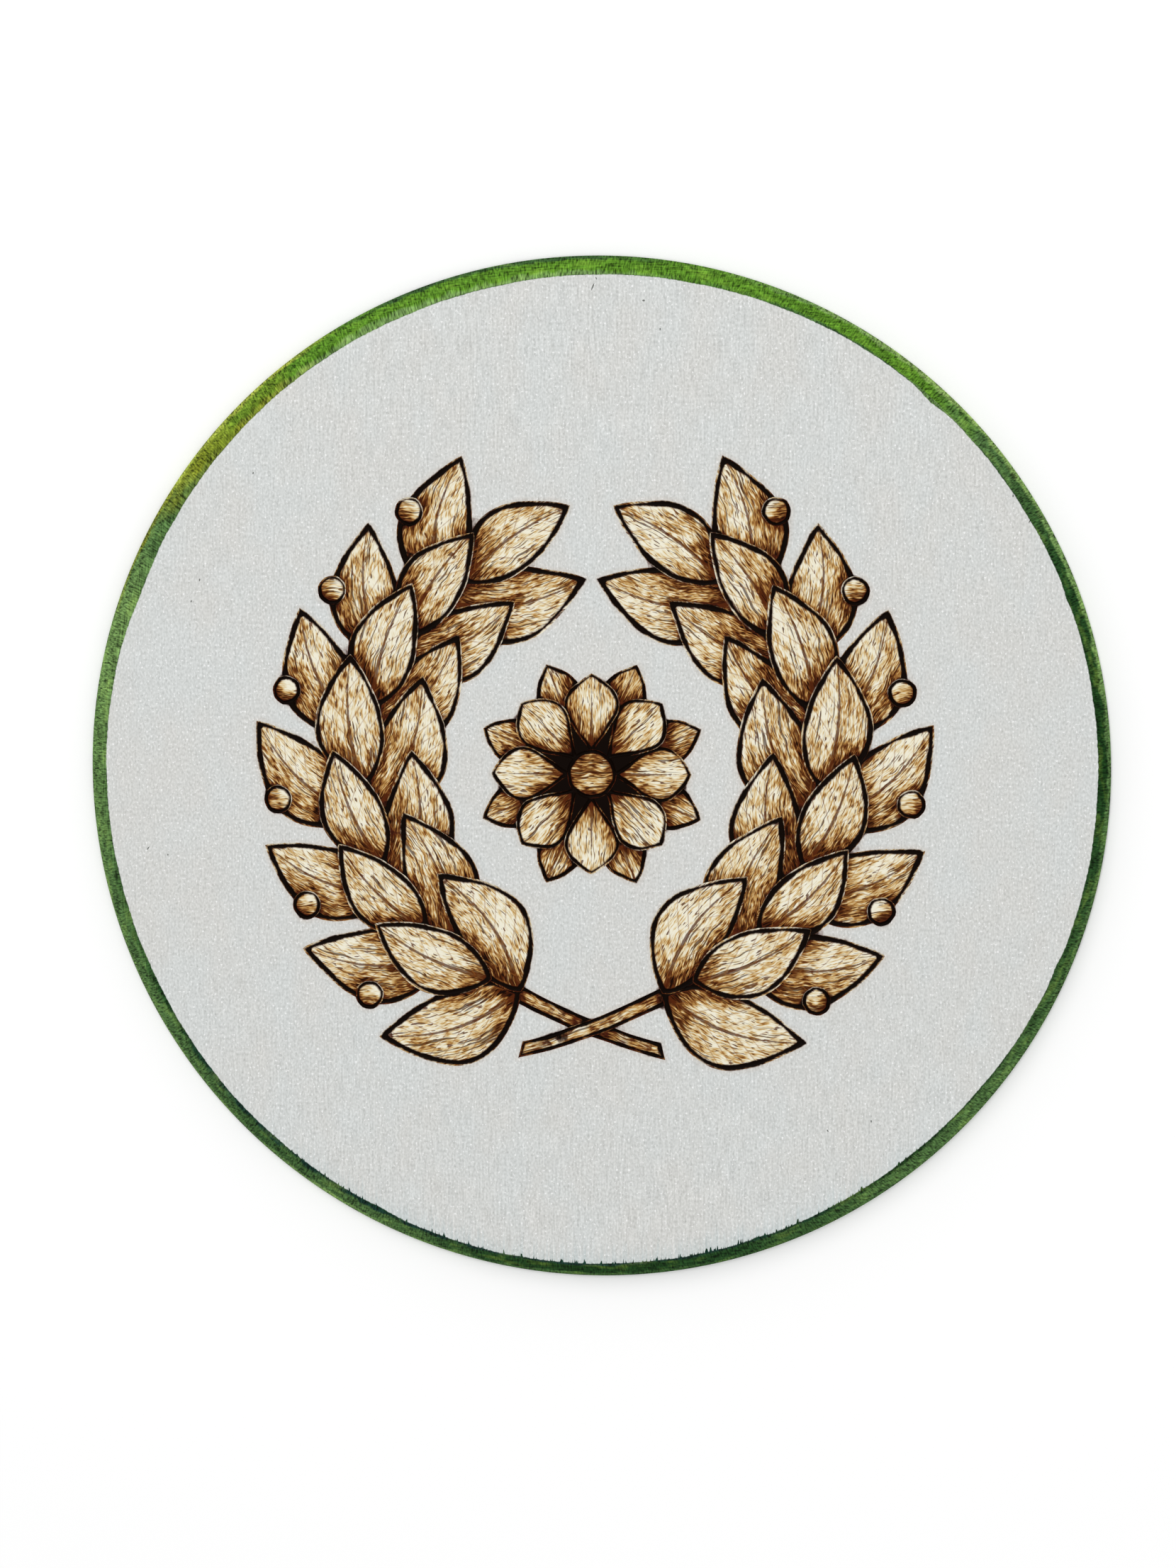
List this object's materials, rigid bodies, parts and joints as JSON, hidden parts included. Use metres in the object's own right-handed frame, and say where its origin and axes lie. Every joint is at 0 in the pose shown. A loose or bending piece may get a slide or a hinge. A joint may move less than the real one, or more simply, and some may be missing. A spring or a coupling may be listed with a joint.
{
  "type": "wood-burned round plaque",
  "caption": "Round three-ply wooden plaque with a bevelled, green-stained edge and a leaf wreath and rosette burned into its pale face.",
  "frame": {"origin": "middle of the flat back of the disc", "axes": "+Z out of the decorated face, +Y towards the top of the design, +X to the right as the face is read"},
  "size_m": [0.2, 0.2, 0.005],
  "materials": {
    "face_wood": "pale sanded veneer with a burned design, its bevelled rim stained green",
    "stained_core": "cross-grained core veneer, its bevelled rim stained green",
    "back_wood": "bare sanded veneer, its rim stained green"
  },
  "bodies": {
    "root": {"face_ply": "face_wood", "core_ply": "stained_core", "back_ply": "back_wood"}
  },
  "joints": []
}
